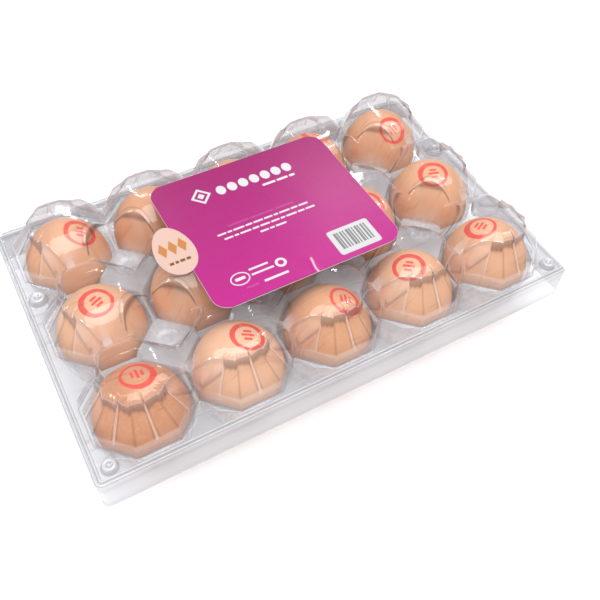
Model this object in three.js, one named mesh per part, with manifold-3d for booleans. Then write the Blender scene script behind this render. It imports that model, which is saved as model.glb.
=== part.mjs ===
// Clear hinged carton for fifteen eggs: tray with a skirt, domed lid, hinge bead, card label and eggs.
// Millimetres, +Z up, +X along the rows of five, +Y towards the hinge, z = 0 on the table.
import * as THREE from 'three';
import { mergeVertices } from 'three/addons/utils/BufferGeometryUtils.js';
import Module from 'manifold-3d';

const wasm = await Module();
wasm.setup();

// Driving sizes of the carton
const COLUMNS = 5;
const ROWS = 3;
const PITCH_X = 47;
const PITCH_Y = 50.4;
const LENGTH = 247.4;
const WIDTH = 159.4;
const FILM = 0.8;
const GAP = 0.3;
const FLANGE_Z = 40;
const HINGE_INSET = 1.3;
const HINGE_BEAD_R = 0.45;
const HINGE_LENGTH = 239.4;
const HINGE_SIDES = 8;

// Lid cell, heights above the top of the lid's flange
const FOOT_APOTHEM = 24;
const BAND_HEIGHT = 7.5;
const BAND_DRAFT = 0.7;
const CROWN_Z = 25.5;
const CROWN_R = 9;
const SHOULDER_Z = 22;
const SHOULDER_APOTHEM = 13.2;
const CORNER_SHOULDER = { r: 14.5, z: 19.2 };
const CORNER_BAND_Z = 8.5;
const SADDLE_SHOULDER = { r: 16, z: 22.5 };
const SADDLE_Z = 15;
const RIDGE = { r: 18.6, z: 13.6 };
const NOTCH_RIDGE_Z = 13;
const GROOVE_Z = 5.5;
const NOTCH_HALF_OPEN = 11;
const FUNNEL_TOP = { r: 18.5, z: 19.5 };
const FUNNEL_MID = { r: 22, z: 11.5 };
const FUNNEL_FOOT = { r: 27.5, z: 1.5 };
const POST_Z = 1;

// Tray, heights above the table
const CUP_PROFILE = [[9, FILM], [16, 8.5], [21.5, 20], [22.6, 32]];
const RIM_SETBACK = 1.4;
const WALL_TOP_Z = 35;
const SKIRT_BOTTOM_Z = 22;
const SKIRT_DRAFT = 0.6;
const LIP_HEIGHT = 0.9;

// Egg, blunt end up
const EGG_R = 21.8;
const EGG_WIDEST_Z = 33.5;
const EGG_TOP = 25;
const EGG_BOTTOM = 32.2;
const EGG_SIDES = 16;
const EGG_RINGS = 8;
const EGG_SPREAD = 0.03;
const EGG_SEED = 7;

// Label card with an egg-shaped tab at its left edge
const LABEL = { width: 96, depth: 85.5, thick: 0.5, corner: 8, x: -1.6, y: 2.2 };
const TAB = { x: -52.6, y: 2.2, half_width: 9.4, half_height: 15.6, taper: 0.12, sides: 28 };

// Snap buttons on the lid's flange: x, y, radius, height
const SNAP_BUTTONS = [
  [-115.3, -72.4, 4.2, 3.2],
  [115.3, -72.4, 4.2, 3.2],
  [-115.6, 26, 5, 3.6],
  [115.6, 26, 5, 3.6],
];
const BUTTON_TAPER = 0.7;
const BUTTON_SIDES = 12;

const TRAY_TOP = FLANGE_Z - FILM - GAP;
const RIGHT_ANGLE = Math.PI / 2;
const HALF_SIDE = Math.PI / 8;

const film = (color, opacity) => new THREE.MeshStandardMaterial({
  color, opacity, transparent: true, roughness: 0.08, metalness: 0,
});
const plain = (color, roughness) => new THREE.MeshStandardMaterial({ color, roughness, metalness: 0 });

// Distance from a cell's axis to its octagonal foot, along angle
function footRadius(angle) {
  const turn = 2 * HALF_SIDE;
  const fromSide = angle - turn * Math.round(angle / turn);
  return FOOT_APOTHEM / Math.cos(fromSide);
}

// How far a cell reaches from its axis on each side, and which of these sides are the carton's own edge
function cellReach(column, row) {
  const cx = (column - (COLUMNS - 1) / 2) * PITCH_X;
  const cy = (row - (ROWS - 1) / 2) * PITCH_Y;
  return {
    cx, cy,
    left: column === 0 ? LENGTH / 2 + cx : PITCH_X / 2,
    right: column === COLUMNS - 1 ? LENGTH / 2 - cx : PITCH_X / 2,
    front: row === 0 ? WIDTH / 2 + cy : PITCH_Y / 2,
    back: row === ROWS - 1 ? WIDTH / 2 - HINGE_INSET - cy : PITCH_Y / 2,
    edges: { left: column === 0, right: column === COLUMNS - 1, front: row === 0, back: row === ROWS - 1 },
  };
}

// The angles of one quarter of a cell, from its X side to its Y side, with what the film does at each
function quarterStops(reachX, reachY, edgeX, edgeY) {
  const corner = Math.atan2(reachY, reachX);
  const sideX = edgeX ? 'face' : 'saddle';
  const sideY = edgeY ? 'face' : 'saddle';
  if (edgeX && edgeY) {
    return [[0, 'face'], [HALF_SIDE, 'face'], [corner, 'face'], [RIGHT_ANGLE - HALF_SIDE, 'face'],
      [RIGHT_ANGLE, 'face']];
  }
  if (edgeX) {
    const notch = Math.atan2(reachY, NOTCH_HALF_OPEN);
    return [[0, sideX], [HALF_SIDE, 'face'], [corner, 'plane'], [notch, 'notch'],
      [RIGHT_ANGLE - HALF_SIDE, 'ridge'], [RIGHT_ANGLE, sideY]];
  }
  if (edgeY) {
    const notch = Math.atan2(NOTCH_HALF_OPEN, reachX);
    return [[0, sideX], [HALF_SIDE, 'ridge'], [notch, 'notch'], [corner, 'plane'],
      [RIGHT_ANGLE - HALF_SIDE, 'face'], [RIGHT_ANGLE, sideY]];
  }
  return [[0, sideX], [HALF_SIDE, 'saddle'], [corner, 'funnel'], [RIGHT_ANGLE - HALF_SIDE, 'saddle'],
    [RIGHT_ANGLE, sideY]];
}

// All stops of a cell, anticlockwise from +X, each with its angle, kind and the distance to the border
function cellStops(cell) {
  const quarters = [
    [cell.right, cell.back, cell.edges.right, cell.edges.back, 0, false],
    [cell.left, cell.back, cell.edges.left, cell.edges.back, 1, true],
    [cell.left, cell.front, cell.edges.left, cell.edges.front, 2, false],
    [cell.right, cell.front, cell.edges.right, cell.edges.front, 3, true],
  ];
  const stops = [];
  quarters.forEach(([reachX, reachY, edgeX, edgeY, index, mirrored]) => {
    const list = quarterStops(reachX, reachY, edgeX, edgeY).map(([angle, kind]) => ({
      angle: mirrored ? (index + 1) * RIGHT_ANGLE - angle : index * RIGHT_ANGLE + angle,
      kind,
      border: Math.min(reachX / Math.max(Math.cos(angle), 1e-9), reachY / Math.max(Math.sin(angle), 1e-9)),
    }));
    if (mirrored) list.reverse();
    stops.push(...list.slice(0, -1));
  });
  return stops;
}

// Outer film line of the lid at one stop, from the crown to the border, in height above the flange
function lidLine({ angle, kind, border }) {
  const foot = footRadius(angle);
  const shoulder = (SHOULDER_APOTHEM * foot) / FOOT_APOTHEM;
  const band = foot - BAND_DRAFT;
  const below = [[foot, 0], [border, 0]];
  const lines = {
    face: [[shoulder, SHOULDER_Z], [band, BAND_HEIGHT], ...below],
    plane: [[CORNER_SHOULDER.r, CORNER_SHOULDER.z], [band, CORNER_BAND_Z], ...below],
    notch: [[RIDGE.r, NOTCH_RIDGE_Z], [band, GROOVE_Z], ...below],
    ridge: [[RIDGE.r, RIDGE.z], [border, GROOVE_Z]],
    saddle: [[SADDLE_SHOULDER.r, SADDLE_SHOULDER.z], [border, SADDLE_Z]],
    funnel: [FUNNEL_TOP, FUNNEL_MID, FUNNEL_FOOT].map(({ r, z }) => [r, z]).concat([[border, POST_Z]]),
  };
  return [[CROWN_R, CROWN_Z], ...lines[kind]].map(([r, z]) => [r, FLANGE_Z + z]);
}

// Inner film line of the tray at one stop, from the cup's floor to the border, in height above the table
function trayLine({ angle, kind, border }) {
  if (kind === 'saddle' || kind === 'ridge') return [...CUP_PROFILE, [border, WALL_TOP_Z]];
  return [...CUP_PROFILE, [footRadius(angle) - RIM_SETBACK, TRAY_TOP], [border, TRAY_TOP]];
}

// Line parallel to a film line at the film's thickness below it, cut or carried on to the same border
function parallelLine(line, centreZ, thickness) {
  const border = line[line.length - 1][0];
  const points = [[0, centreZ], ...line];
  const normals = [];
  for (let i = 1; i < points.length; i += 1) {
    const dr = points[i][0] - points[i - 1][0];
    const dz = points[i][1] - points[i - 1][1];
    const size = Math.hypot(dr, dz);
    normals.push([dz / size, -dr / size]);
  }
  const moved = [[0, centreZ - thickness]];
  for (let i = 1; i < points.length - 1; i += 1) {
    const [ar, az] = normals[i - 1];
    const [br, bz] = normals[i];
    const scale = thickness / (1 + ar * br + az * bz);
    moved.push([points[i][0] + (ar + br) * scale, points[i][1] + (az + bz) * scale]);
  }
  const last = normals[normals.length - 1];
  const end = points[points.length - 1];
  moved.push([end[0] + last[0] * thickness, end[1] + last[1] * thickness]);
  const kept = [moved[0]];
  for (let i = 1; i < moved.length; i += 1) {
    const [r0, z0] = kept[kept.length - 1];
    const [r1, z1] = moved[i];
    const isLast = i === moved.length - 1;
    if (r1 >= border - 1e-6 || isLast) {
      const slope = r1 > r0 ? (z1 - z0) / (r1 - r0) : 0;
      kept.push([border, z0 + slope * (border - r0)]);
      break;
    }
    kept.push([r1, z1]);
  }
  return kept.slice(1);
}

// Collects triangles by their corner points and drops those without area
class Skin {
  constructor() {
    this.positions = [];
  }

  triangle(a, b, c) {
    const same = (p, q) => Math.abs(p[0] - q[0]) + Math.abs(p[1] - q[1]) + Math.abs(p[2] - q[2]) < 1e-5;
    if (same(a, b) || same(b, c) || same(a, c)) return;
    this.positions.push(...a, ...b, ...c);
  }

  quad(a, b, c, d) {
    this.triangle(a, b, c);
    this.triangle(a, c, d);
  }

  geometry() {
    const raw = new THREE.BufferGeometry();
    raw.setAttribute('position', new THREE.Float32BufferAttribute(this.positions, 3));
    return mergeVertices(raw, 1e-4);
  }
}

// One face of a cell's film: a fan at the axis, then strips between neighbouring stops
function addCellFace(skin, cell, stops, lines, centreZ, upward) {
  const count = Math.max(...lines.map((line) => line.length));
  const place = (stop, [r, z]) => [cell.cx + r * Math.cos(stop.angle), cell.cy + r * Math.sin(stop.angle), z];
  const centre = [cell.cx, cell.cy, centreZ];
  const spokes = stops.map((stop, k) => {
    const line = lines[k];
    return Array.from({ length: count }, (_, m) => place(stop, line[Math.min(m, line.length - 1)]));
  });
  spokes.forEach((spoke, k) => {
    const next = spokes[(k + 1) % spokes.length];
    const strip = (a, b, c, d) => (upward ? skin.quad(a, b, c, d) : skin.quad(d, c, b, a));
    strip(centre, spoke[0], next[0], centre);
    for (let m = 0; m + 1 < count; m += 1) strip(spoke[m], spoke[m + 1], next[m + 1], next[m]);
  });
  return spokes.map((spoke) => spoke[count - 1]);
}

// Border points of a whole film face that lie on the carton's edge, as segments in anticlockwise order
function edgeSegments(border, cell) {
  const near = (value, target) => Math.abs(value - target) < 1e-4;
  const onEdge = (a, b) => {
    const at = (isEdge, axis, value) => isEdge && near(a[axis], value) && near(b[axis], value);
    return at(cell.edges.left, 0, cell.cx - cell.left) || at(cell.edges.right, 0, cell.cx + cell.right)
      || at(cell.edges.front, 1, cell.cy - cell.front) || at(cell.edges.back, 1, cell.cy + cell.back);
  };
  const segments = [];
  border.forEach((a, k) => {
    const b = border[(k + 1) % border.length];
    if (onEdge(a, b)) segments.push([a, b]);
  });
  return segments;
}

function allCells() {
  const cells = [];
  for (let row = 0; row < ROWS; row += 1) {
    for (let column = 0; column < COLUMNS; column += 1) cells.push(cellReach(column, row));
  }
  return cells;
}

// Point at a level of the rim: moved inwards from the carton's edge and set to a height
function rimPoint([x, y], inset, z) {
  const back = WIDTH / 2 - HINGE_INSET;
  const inX = x < -LENGTH / 2 + 1e-3 ? inset : x > LENGTH / 2 - 1e-3 ? -inset : 0;
  const inY = y < -WIDTH / 2 + 1e-3 ? inset : y > back - 1e-3 ? -inset : 0;
  return [x + inX, y + inY, z];
}

function lidGeometry() {
  const skin = new Skin();
  allCells().forEach((cell) => {
    const stops = cellStops(cell);
    const outer = stops.map(lidLine);
    const crown = FLANGE_Z + CROWN_Z;
    const inner = outer.map((line) => parallelLine(line, crown, FILM));
    const border = addCellFace(skin, cell, stops, outer, crown, true);
    addCellFace(skin, cell, stops, inner, crown - FILM, false);
    edgeSegments(border, cell).forEach(([a, b]) => {
      skin.quad(a, rimPoint(a, 0, FLANGE_Z - FILM), rimPoint(b, 0, FLANGE_Z - FILM), b);
    });
  });
  return skin.geometry();
}

// Levels of the skirt below the tray's flange, from the flange's top round the lip to its underside
const SKIRT_LEVELS = [
  [0, TRAY_TOP],
  [SKIRT_DRAFT, SKIRT_BOTTOM_Z + LIP_HEIGHT],
  [0, SKIRT_BOTTOM_Z + LIP_HEIGHT],
  [0, SKIRT_BOTTOM_Z],
  [SKIRT_DRAFT + FILM, SKIRT_BOTTOM_Z],
  [FILM, TRAY_TOP - FILM],
];

function trayGeometry() {
  const skin = new Skin();
  const under = TRAY_TOP - FILM;
  allCells().forEach((cell) => {
    const stops = cellStops(cell);
    const upper = stops.map(trayLine);
    const lower = upper.map((line) => parallelLine(line, FILM, FILM));
    const border = addCellFace(skin, cell, stops, upper, FILM, true);
    const pulled = lower.map((line, k) => {
      const reach = line[line.length - 1][0];
      const { angle } = stops[k];
      const point = [cell.cx + reach * Math.cos(angle), cell.cy + reach * Math.sin(angle)];
      const moved = rimPoint(point, FILM, under);
      return { line, moved, onEdge: moved[0] !== point[0] || moved[1] !== point[1] };
    });
    addTrayUnderside(skin, cell, stops, pulled);
    edgeSegments(border, cell).forEach(([a, b]) => {
      for (let i = 0; i + 1 < SKIRT_LEVELS.length; i += 1) {
        const [i0, z0] = SKIRT_LEVELS[i];
        const [i1, z1] = SKIRT_LEVELS[i + 1];
        skin.quad(rimPoint(a, i0, z0), rimPoint(a, i1, z1), rimPoint(b, i1, z1), rimPoint(b, i0, z0));
      }
    });
  });
  return skin.geometry();
}

// Underside of the tray's film, which ends at the skirt's inner face where the cell is at the edge
function addTrayUnderside(skin, cell, stops, pulled) {
  const count = Math.max(...pulled.map(({ line }) => line.length));
  const centre = [cell.cx, cell.cy, 0];
  const spokes = pulled.map(({ line, moved, onEdge }, k) => Array.from({ length: count }, (_, m) => {
    const isEnd = m >= line.length - 1;
    if (isEnd && onEdge) return moved;
    const [r, z] = line[Math.min(m, line.length - 1)];
    return [cell.cx + r * Math.cos(stops[k].angle), cell.cy + r * Math.sin(stops[k].angle), z];
  }));
  spokes.forEach((spoke, k) => {
    const next = spokes[(k + 1) % spokes.length];
    skin.triangle(centre, next[0], spoke[0]);
    for (let m = 0; m + 1 < count; m += 1) skin.quad(next[m], next[m + 1], spoke[m + 1], spoke[m]);
  });
}

// Manifold solid from a closed geometry, and back
function toSolid(geometry) {
  const bare = geometry.clone();
  bare.deleteAttribute('normal');
  bare.deleteAttribute('uv');
  const merged = mergeVertices(bare, 1e-4);
  return new wasm.Manifold(new wasm.Mesh({
    numProp: 3,
    vertProperties: new Float32Array(merged.attributes.position.array),
    triVerts: new Uint32Array(merged.index.array),
  }));
}

function toGeometry(solid) {
  const mesh = solid.getMesh();
  const geometry = new THREE.BufferGeometry();
  geometry.setAttribute('position', new THREE.BufferAttribute(mesh.vertProperties, 3));
  geometry.setIndex(new THREE.BufferAttribute(mesh.triVerts, 1));
  return geometry;
}

// Lid with its snap buttons, low drums that stand on the flange
function lidWithButtons() {
  let lid = toSolid(lidGeometry());
  SNAP_BUTTONS.forEach(([x, y, radius, height]) => {
    const drum = new THREE.CylinderGeometry(radius * BUTTON_TAPER, radius, height + FILM / 2, BUTTON_SIDES);
    drum.rotateX(RIGHT_ANGLE);
    drum.translate(x, y, FLANGE_Z + (height - FILM / 2) / 2);
    lid = lid.add(toSolid(drum));
  });
  return toGeometry(lid);
}

// Repeatable draw between 0 and 1
function seededDraw(seed) {
  let state = seed;
  return () => {
    state = (state * 16807) % 2147483647;
    return state / 2147483647;
  };
}

function eggGeometry(radius, top, bottom) {
  const profile = [];
  for (let k = 0; k <= EGG_RINGS; k += 1) {
    const angle = -RIGHT_ANGLE + (Math.PI * k) / EGG_RINGS;
    const reach = Math.sin(angle) < 0 ? bottom : top;
    profile.push(new THREE.Vector2(k % EGG_RINGS ? radius * Math.cos(angle) : 0, reach * Math.sin(angle)));
  }
  return new THREE.LatheGeometry(profile, EGG_SIDES).rotateX(RIGHT_ANGLE);
}

function eggOutline() {
  const shape = new THREE.Shape();
  for (let k = 0; k < TAB.sides; k += 1) {
    const angle = (2 * Math.PI * k) / TAB.sides;
    const up = Math.sin(angle);
    const x = TAB.half_width * Math.cos(angle) * (1 - TAB.taper * up);
    if (k) shape.lineTo(x, TAB.half_height * up);
    else shape.moveTo(x, TAB.half_height * up);
  }
  return shape;
}

function roundedRectangle(width, depth, corner) {
  const [x, y] = [width / 2, depth / 2];
  const shape = new THREE.Shape();
  shape.moveTo(-x + corner, -y);
  shape.lineTo(x - corner, -y);
  shape.absarc(x - corner, -y + corner, corner, -RIGHT_ANGLE, 0);
  shape.lineTo(x, y - corner);
  shape.absarc(x - corner, y - corner, corner, 0, RIGHT_ANGLE);
  shape.lineTo(-x + corner, y);
  shape.absarc(-x + corner, y - corner, corner, RIGHT_ANGLE, 2 * RIGHT_ANGLE);
  shape.lineTo(-x, -y + corner);
  shape.absarc(-x + corner, -y + corner, corner, 2 * RIGHT_ANGLE, 3 * RIGHT_ANGLE);
  return shape;
}

function labelGeometry() {
  const flat = { depth: LABEL.thick, bevelEnabled: false, curveSegments: 6 };
  const card = new THREE.ExtrudeGeometry(roundedRectangle(LABEL.width, LABEL.depth, LABEL.corner), flat);
  card.translate(LABEL.x, LABEL.y, 0);
  const tab = new THREE.ExtrudeGeometry(eggOutline(), flat);
  tab.translate(TAB.x, TAB.y, 0);
  return toGeometry(toSolid(card).add(toSolid(tab)));
}

const carton = new THREE.Group();

function addPiece(parent, name, geometry, material, x = 0, y = 0, z = 0) {
  const mesh = new THREE.Mesh(geometry, material);
  mesh.name = name;
  mesh.position.set(x, y, z);
  parent.add(mesh);
}

// Tray body: film tray, hinge bead and the eggs that rest in the cups
addPiece(carton, 'tray', trayGeometry(), film(0xd9dde4, 0.35));
const bead = new THREE.CylinderGeometry(HINGE_BEAD_R, HINGE_BEAD_R, HINGE_LENGTH, HINGE_SIDES);
bead.rotateZ(RIGHT_ANGLE);
const hingeY = WIDTH / 2 - HINGE_BEAD_R;
addPiece(carton, 'hinge_bead', bead, film(0xd9dde4, 0.5), 0, hingeY, FLANGE_Z - FILM - GAP / 2);

const draw = seededDraw(EGG_SEED);
allCells().forEach((cell, index) => {
  const size = 1 - EGG_SPREAD * draw();
  const tall = 1 - EGG_SPREAD * draw();
  const column = (index % COLUMNS) + 1;
  const row = Math.floor(index / COLUMNS) + 1;
  const bottom = EGG_BOTTOM * tall;
  const geometry = eggGeometry(EGG_R * size, EGG_TOP * tall, bottom);
  const widest = EGG_WIDEST_Z - EGG_BOTTOM + bottom;
  addPiece(carton, `egg_r${row}_c${column}`, geometry, plain(0xcf9468, 0.55), cell.cx, cell.cy, widest);
});

// Lid body: domed film lid and the card on its crowns
addPiece(carton, 'lid', lidWithButtons(), film(0xdfe2ea, 0.3));
addPiece(carton, 'label', labelGeometry(), plain(0xc2378f, 0.45), 0, 0, FLANGE_Z + CROWN_Z + GAP);

export default carton;
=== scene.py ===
"""Clear hinged carton with fifteen brown eggs and a printed card label, dressed for rendering."""
import math
import bmesh
import bpy
import numpy as np
from mathutils import Matrix, Quaternion, Vector, noise


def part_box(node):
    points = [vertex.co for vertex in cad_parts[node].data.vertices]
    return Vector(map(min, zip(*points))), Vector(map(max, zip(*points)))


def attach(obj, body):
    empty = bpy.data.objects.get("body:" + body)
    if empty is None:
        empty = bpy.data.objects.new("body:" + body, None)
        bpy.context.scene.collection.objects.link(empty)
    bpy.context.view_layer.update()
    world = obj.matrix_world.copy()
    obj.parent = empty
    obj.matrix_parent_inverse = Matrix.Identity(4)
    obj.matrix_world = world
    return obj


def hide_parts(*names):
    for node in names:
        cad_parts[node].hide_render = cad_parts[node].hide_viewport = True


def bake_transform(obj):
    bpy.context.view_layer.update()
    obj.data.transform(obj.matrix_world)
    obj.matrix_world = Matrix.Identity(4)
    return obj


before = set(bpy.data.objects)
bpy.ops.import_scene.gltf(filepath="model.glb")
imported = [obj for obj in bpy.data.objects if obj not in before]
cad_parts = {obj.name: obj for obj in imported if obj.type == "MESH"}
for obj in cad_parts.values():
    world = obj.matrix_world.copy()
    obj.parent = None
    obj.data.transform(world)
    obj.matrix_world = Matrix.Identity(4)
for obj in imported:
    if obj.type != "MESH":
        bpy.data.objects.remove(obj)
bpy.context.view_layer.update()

# Cells, flange and rim; lengths are in millimetres down to the floor
MM = 0.001
COLUMNS, ROWS = 5, 3
PITCH_X, PITCH_Y = 47.0, 50.4
LENGTH, FRONT_Y, BACK_Y = 247.4, -79.7, 78.4
FLANGE_Z = 40.0
RIM, RIM_CORNER_STEPS, RIM_STEP = 3.6, 8, 2.0
WELD_DISTANCE = 0.02

# Domes of the lid: distances from a cell's axis, heights above the flange, and falls of the valley planes
FOOT, BAND_TOP, BAND_Z = 24.0, 23.3, 7.5
SHOULDER, SHOULDER_Z = 13.2, 22.0
EDGE_TOP = 22.7
RIDGE_END, LEDGE_END, LEDGE_START, LEDGE_DROP = 4.2, 9.5, 0.5, 1.3
VALLEY_OUT, VALLEY_ALONG_X, VALLEY_ALONG_Y = 0.632, 1.0136, 0.92
TOOTH_LOW, TOOTH_HIGH, TOOTH_AT_RIB = 0.1, 1.4, -0.3
TOOTH_JITTER, TOOTH_JITTER_RATE = 0.12, 47.0
CROWN_R, CROWN_Z = 9.0, 25.5
DOME = ((0, 25.5), (9, 25.42), (12, 25.05), (14.5, 24.1), (17, 22.1), (20, 19.0), (22, 16.7), (23.5, 15.0))
DOME_POWER = 3

# Funnel between four domes: distance from its axis and height, then height and milkiness
FUNNEL = ((0, 3.4), (1.5, 3.4), (2.4, 0.9), (5.5, 1.2), (7.8, 4.2), (11.0, 9.0), (14.2, 16.0), (15.7, 20.2),
          (16.4, 22.0), (18.0, 40.0))
FUNNEL_RIM = 16.6
FUNNEL_MILK = ((0, 0.3), (3, 0.36), (7, 0.16), (11, 0.05), (24, 0.04))
WELL_FLUTES, WELL_FLUTE_DEPTH = 12, 0.35

# Depth of the fans between their ribs; at the back they are flatter, the film is hazier, and painted shade
# darkens it
RECESS, BACK_FLUTES = 1.4, 0.3
BACK_HAZE, BACK_SHADE, BACK_PLAIN = 0.2, 0.36, 0.9

# Snap buttons: place, radius and height
BUTTONS = ((-115.3, -72.4, 4.2, 3.2), (115.3, -72.4, 4.2, 3.2), (-115.6, 26, 5, 3.6), (115.6, 26, 5, 3.6))

# Heights of the tray above the table
TRAY_TOP = 38.9
WALL_TOP = 35.0
CUP = ((0, 0.05), (8.5, 0.05), (10.5, 0.9), (16, 8.3), (19.5, 14.3), (21.5, 19.8), (22.4, 27.0), (22.8, 32.0))
CUP_FLUTES, CUP_FLUTE_DEPTH = 16, 0.5

# Names of the film's vertex marks: milkiness, painted shade and painted highlight; then milkiness where the
# film is clear, on the tray and on the tray's top
FILM_MARKS = ("milk", "crease", "shine")
CLEAR, TRAY_MILK, TRAY_TOP_MILK = 0.03, 0.18, 0.65

# Share of a spoke over a saddle where the film starts to turn, and its milkiness and painted shade at the end
SADDLE_FROM, SADDLE_MILK, SADDLE_SHADE = 0.78, 0.37, 0.16

# Painted shade along a fan's step, a ridge's step, a ledge, a rib's foot, a fold between two faces, and the
# foot
FAN_STEP_SHADE, RIDGE_STEP_SHADE, LEDGE_STEP_SHADE = 1.0, 0.45, 0.85
RIB_FOOT_SHADE, FOLD_LINE_SHADE, FOOT_LINE_SHADE = 0.5, 0.4, 0.45

# Angles of the cells' faces, ribs and spokes
RIGHT, EIGHTH = math.pi / 2, math.pi / 4
RIB_TOP, RIB_FOOT = math.radians(1.2), math.radians(2.0)
SPOKE_STEP = math.radians(2.25)
FAN_FADE = math.radians(28)


def mesh_object(name, verts, faces, material, smooth=True):
    """Mesh from rows of x, y, z in millimetres, which may go on with the film's milk, painted shade and
    painted highlight.
    """
    rows = np.asarray(verts, float)
    mesh = bpy.data.meshes.new(name)
    mesh.from_pydata([tuple(v) for v in rows[:, :3] * MM], [], [tuple(f) for f in faces])
    for column, mark in enumerate(FILM_MARKS, 3):
        if column < rows.shape[1]:
            layer = mesh.attributes.new(mark, "FLOAT", "POINT")
            layer.data.foreach_set("value", rows[:, column].astype(np.float32))
    mesh.validate()
    if smooth:
        mesh.polygons.foreach_set("use_smooth", [True] * len(mesh.polygons))
    mesh.materials.append(material)
    obj = bpy.data.objects.new(name, mesh)
    bpy.context.scene.collection.objects.link(obj)
    return obj


class Nodes:
    """Node tree of one procedural material, with short calls for the nodes in it."""

    def __init__(self, name):
        self.material = bpy.data.materials.new(name)
        self.material.use_nodes = True
        self.tree = self.material.node_tree
        self.tree.nodes.clear()
        self.output = self.add("ShaderNodeOutputMaterial")

    def add(self, kind, inputs=None, **settings):
        node = self.tree.nodes.new(kind)
        for key, value in settings.items():
            setattr(node, key, value)
        for key, value in (inputs or {}).items():
            self.put(node.inputs[key], value)
        return node

    def put(self, socket, value):
        if isinstance(value, bpy.types.NodeSocket):
            self.tree.links.new(value, socket)
        else:
            socket.default_value = value

    def math(self, operation, a, b=0.0, c=0.0, clamp=False):
        node = self.add("ShaderNodeMath", operation=operation, use_clamp=clamp)
        for socket, value in zip(node.inputs, (a, b, c)):
            self.put(socket, value)
        return node.outputs[0]

    def hypot(self, a, b):
        return self.math("SQRT", self.math("MULTIPLY_ADD", a, a, self.math("MULTIPLY", b, b)))

    def away(self, value, centre):
        return self.math("ABSOLUTE", self.math("SUBTRACT", value, centre))

    def mix(self, factor, a, b):
        node = self.add("ShaderNodeMix", data_type="RGBA")
        self.put(node.inputs[0], factor)
        for socket, value in ((node.inputs[6], a), (node.inputs[7], b)):
            self.put(socket, value if isinstance(value, bpy.types.NodeSocket) else (*value, 1.0)[:4])
        return node.outputs[2]

    def tint(self, base, mask, amount, colour):
        """Base colour that turns to another by the amount where the mask is 1."""
        return self.mix(self.math("MULTIPLY", mask, amount), base, colour)

    def ramp(self, value, low, high, smooth=True):
        kind = "SMOOTHSTEP" if smooth else "LINEAR"
        return self.add("ShaderNodeMapRange", {0: value, 1: low, 2: high}, interpolation_type=kind).outputs[0]

    def noise(self, scale, detail=3.0, rough=0.55, vector=None):
        place = vector if vector is not None else self.position()
        values = {"Vector": place, "Scale": scale, "Detail": detail, "Roughness": rough}
        return self.add("ShaderNodeTexNoise", values).outputs[0]

    def position(self):
        return self.add("ShaderNodeTexCoord").outputs["Object"]

    def attribute(self, name):
        return self.add("ShaderNodeAttribute", attribute_name=name).outputs["Fac"]

    def shader_mix(self, factor, a, b):
        return self.add("ShaderNodeMixShader", {0: factor, 1: a, 2: b}).outputs[0]

    def bump(self, height, strength, distance):
        values = {"Strength": strength, "Distance": distance, "Height": height}
        return self.add("ShaderNodeBump", values).outputs["Normal"]

    def finish(self, shader):
        self.put(self.output.inputs["Surface"], shader)
        return self.material


# Look of every kind of film: colours, shares, and what a vertex mark of 1 adds
DRAG_TINT, DRAG_SHARE = (0.60, 0.50, 0.46), 0.32
# The crease mark paints shade: it turns the film's tint darker along steps, feet, saddles and the back
PAINTED_SHADE_TINT, PAINTED_SHADE_SHARE = (0.34, 0.29, 0.275), 0.9
GLOSS_COLOUR, MILK_COLOUR = (0.97, 0.97, 1.0, 1.0), (0.85, 0.86, 0.89, 1.0)
FINE_WAVES, DIFFUSE_SHARE, FACING_HAZE = 0.12, 0.6, 0.12
GRAZING_GLOSS, FACING_GLOSS = 0.8, 0.05
# The shine mark paints a highlight: it turns the film milky white there, and adds gloss
SHINE_PAINTED_HIGHLIGHT, SHINE_GLOSS = 0.35, 0.12


def film_material(name, tint, edge_tint, haze, wave, rough=0.08):
    """Clear tinted film with a milky share and a glossy share, both larger at a grazing angle."""
    n = Nodes(name)
    milk, crease, shine = (n.attribute(mark) for mark in FILM_MARKS)
    broad = n.noise(55.0, 2.0, 0.5)
    fine = n.noise(420.0, 2.0, 0.5)
    normal = n.bump(n.math("ADD", broad, n.math("MULTIPLY", fine, FINE_WAVES)), wave, 0.002)
    facing = n.add("ShaderNodeLayerWeight", {"Blend": 0.5, "Normal": normal}).outputs["Facing"]
    grazing = n.math("POWER", facing, 3.0)
    colour = n.mix(grazing, tint, edge_tint)
    colour = n.tint(colour, drag_marks(n), DRAG_SHARE, DRAG_TINT)
    # Painted shade where the crease mark is
    colour = n.tint(colour, crease, PAINTED_SHADE_SHARE, PAINTED_SHADE_TINT)
    clear = n.add("ShaderNodeBsdfTransparent", {"Color": colour})
    gloss = n.add("ShaderNodeBsdfGlossy", {"Color": GLOSS_COLOUR, "Roughness": rough, "Normal": normal})
    through = n.add("ShaderNodeBsdfTranslucent", {"Color": MILK_COLOUR})
    back = n.add("ShaderNodeBsdfDiffuse", {"Color": MILK_COLOUR})
    milky = n.shader_mix(DIFFUSE_SHARE, through.outputs[0], back.outputs[0])
    amount = n.math("ADD", n.math("MULTIPLY_ADD", grazing, haze, haze * FACING_HAZE), milk)
    # Painted highlight: the shine mark turns the film milkier and whiter
    amount = n.math("MULTIPLY_ADD", shine, SHINE_PAINTED_HIGHLIGHT, amount, clamp=True)
    body = n.shader_mix(amount, clear.outputs[0], milky)
    gloss_amount = n.math("MULTIPLY_ADD", n.math("POWER", facing, 5.0), GRAZING_GLOSS, FACING_GLOSS)
    gloss_amount = n.math("MULTIPLY_ADD", shine, SHINE_GLOSS, gloss_amount, clamp=True)
    return n.finish(n.shader_mix(gloss_amount, body, gloss.outputs[0]))


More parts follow.
